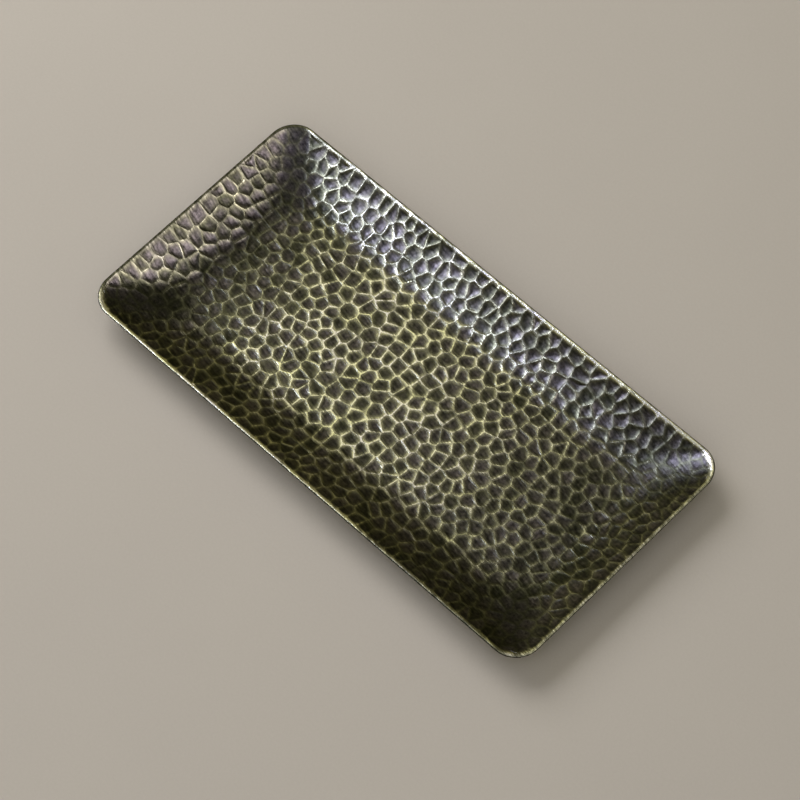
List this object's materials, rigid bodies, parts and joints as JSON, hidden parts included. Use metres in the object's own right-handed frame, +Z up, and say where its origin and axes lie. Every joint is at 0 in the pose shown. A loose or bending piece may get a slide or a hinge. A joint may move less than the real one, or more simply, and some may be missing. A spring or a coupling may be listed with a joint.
{
  "type": "fruit tray",
  "caption": "Shallow rectangular hammered brass tray with flared curved walls, rounded corners and stick-on rubber feet, for serving fruit or holding small items.",
  "frame": {"origin": "under the middle of the tray, on the plane of the feet's undersides", "axes": "+X along the tray's length, +Y across it, +Z up out of the hollow"},
  "size_m": [0.25, 0.1216, 0.014],
  "materials": {
    "antique_brass": "hammered, darkened in the marks, polished on the ridges and the rim",
    "foot_rubber": "matt black moulded rubber",
    "adhesive_film": "dull translucent adhesive film"
  },
  "bodies": {
    "root": {"tray_sheet": "antique_brass", "rubber_foot_front_left": "foot_rubber", "rubber_foot_front_right": "foot_rubber", "rubber_foot_back_left": "foot_rubber", "rubber_foot_back_right": "foot_rubber", "adhesive_disc_front_left": "adhesive_film", "adhesive_disc_front_right": "adhesive_film", "adhesive_disc_back_left": "adhesive_film", "adhesive_disc_back_right": "adhesive_film"}
  },
  "joints": []
}
